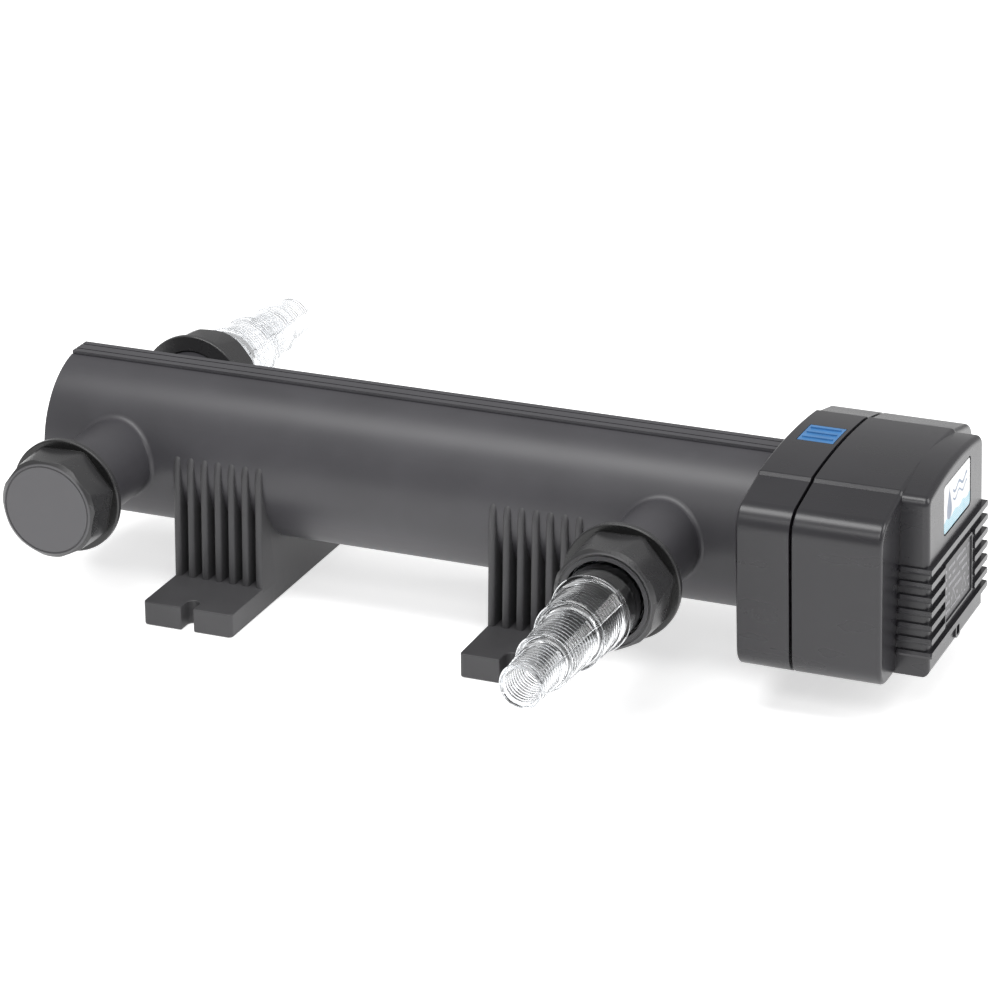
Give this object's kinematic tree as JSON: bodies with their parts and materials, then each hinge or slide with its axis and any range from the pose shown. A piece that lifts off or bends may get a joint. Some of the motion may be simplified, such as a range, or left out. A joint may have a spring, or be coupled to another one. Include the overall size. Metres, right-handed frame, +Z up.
{
  "type": "uv clarifier",
  "caption": "Pond water clarifier: a plastic tube on feet with threaded hose ports, and a bayonet head that holds an ultraviolet lamp in a quartz sleeve.",
  "frame": {"origin": "on the floor, under the tube's axis, at the middle of the foot nearer the lamp head", "axes": "+X along the tube towards the lamp head, +Z up, -Y towards the side with two ports"},
  "size_m": [0.5514, 0.4832, 0.1373],
  "materials": {
    "housing_plastic": "satin charcoal moulding",
    "foot_plastic": "grained charcoal moulding",
    "nut_plastic": "semi-gloss black moulding",
    "clear_plastic": "clear moulding",
    "seal_rubber": "matt black rubber",
    "latch_blue": "satin blue moulding",
    "panel_white": "white printed panel",
    "quartz": "clear quartz glass",
    "lamp_glass": "lamp glass",
    "lamp_base_plastic": "white moulding",
    "brass": "bright contact pins",
    "steel": "stainless steel",
    "board_green": "coated circuit board",
    "component_black": "moulded electronic parts",
    "case_grey": "grey ballast case"
  },
  "bodies": {
    "housing": {"housing_tube": "housing_plastic", "port_neck_cap": "housing_plastic", "port_neck_front": "housing_plastic", "port_neck_rear": "housing_plastic", "tube_end_cap": "housing_plastic", "foot_left": "foot_plastic", "foot_right": "foot_plastic", "head_flange": "housing_plastic", "latch_spring": "steel"},
    "latch": {"latch_button": "latch_blue"},
    "lamp_head": {"head_cover": "housing_plastic", "name_panel": "panel_white", "rating_plate": "housing_plastic", "lamp_carrier": "nut_plastic", "head_o_ring": "seal_rubber", "sleeve_o_ring": "seal_rubber", "sleeve_clamp_ring": "nut_plastic", "quartz_sleeve": "quartz", "lamp_tubes": "lamp_glass", "lamp_base": "lamp_base_plastic", "lamp_pins": "brass", "lamp_socket": "lamp_base_plastic", "cover_screws": "steel", "socket_screws": "steel", "ballast_case": "case_grey", "ballast_lid": "case_grey", "circuit_board": "board_green", "board_components": "component_black", "terminal_block": "lamp_base_plastic", "gland_body": "nut_plastic", "gland_nut": "nut_plastic", "gland_bush": "seal_rubber", "gland_locknut": "nut_plastic"},
    "front_tail": {"hose_tail_front": "clear_plastic", "tail_seal_front": "seal_rubber"},
    "front_nut": {"union_nut_front": "nut_plastic"},
    "rear_tail": {"hose_tail_rear": "clear_plastic", "tail_seal_rear": "seal_rubber"},
    "rear_nut": {"union_nut_rear": "nut_plastic"},
    "cap_washer": {"cap_seal": "seal_rubber"},
    "cap": {"blind_cap": "nut_plastic"}
  },
  "joints": [
    {"name": "head_turn", "type": "hinge", "parent": "housing", "child": "lamp_head", "pos_m": [0.164, 0, 0.0803], "axis": [1, 0, 0], "range_deg": [0, 18]},
    {"name": "latch_press", "type": "slide", "parent": "housing", "child": "latch", "axis": [0, 0, -1], "range_m": [0, 0.0022], "stiffness_N_per_m": 300, "deforming": ["latch_spring"]},
    {"name": "front_tail_slide", "type": "slide", "parent": "housing", "child": "front_tail", "axis": [0, -1, 0], "range_m": [0, 0.0116]},
    {"name": "front_nut_turn", "type": "hinge", "parent": "front_tail", "child": "front_nut", "pos_m": [0.0745, -0.126, 0.0803], "axis": [0, -1, 0], "range_deg": [0, 1800]},
    {"name": "rear_tail_slide", "type": "slide", "parent": "housing", "child": "rear_tail", "axis": [0, 1, 0], "range_m": [0, 0.0116]},
    {"name": "rear_nut_turn", "type": "hinge", "parent": "rear_tail", "child": "rear_nut", "pos_m": [-0.279, 0.098, 0.0803], "axis": [0, 1, 0], "range_deg": [0, 1800]},
    {"name": "cap_washer_slide", "type": "slide", "parent": "housing", "child": "cap_washer", "axis": [0, -1, 0], "range_m": [0, 0.0116]},
    {"name": "cap_turn", "type": "hinge", "parent": "cap_washer", "child": "cap", "pos_m": [-0.2685, -0.126, 0.0803], "axis": [0, -1, 0], "range_deg": [0, 1800]}
  ],
  "couplings": [
    {"joint": "front_tail_slide", "follows": "front_nut_turn", "m_per_rad": 0.00036749},
    {"joint": "rear_tail_slide", "follows": "rear_nut_turn", "m_per_rad": 0.00036749},
    {"joint": "cap_washer_slide", "follows": "cap_turn", "m_per_rad": 0.00036749}
  ]
}
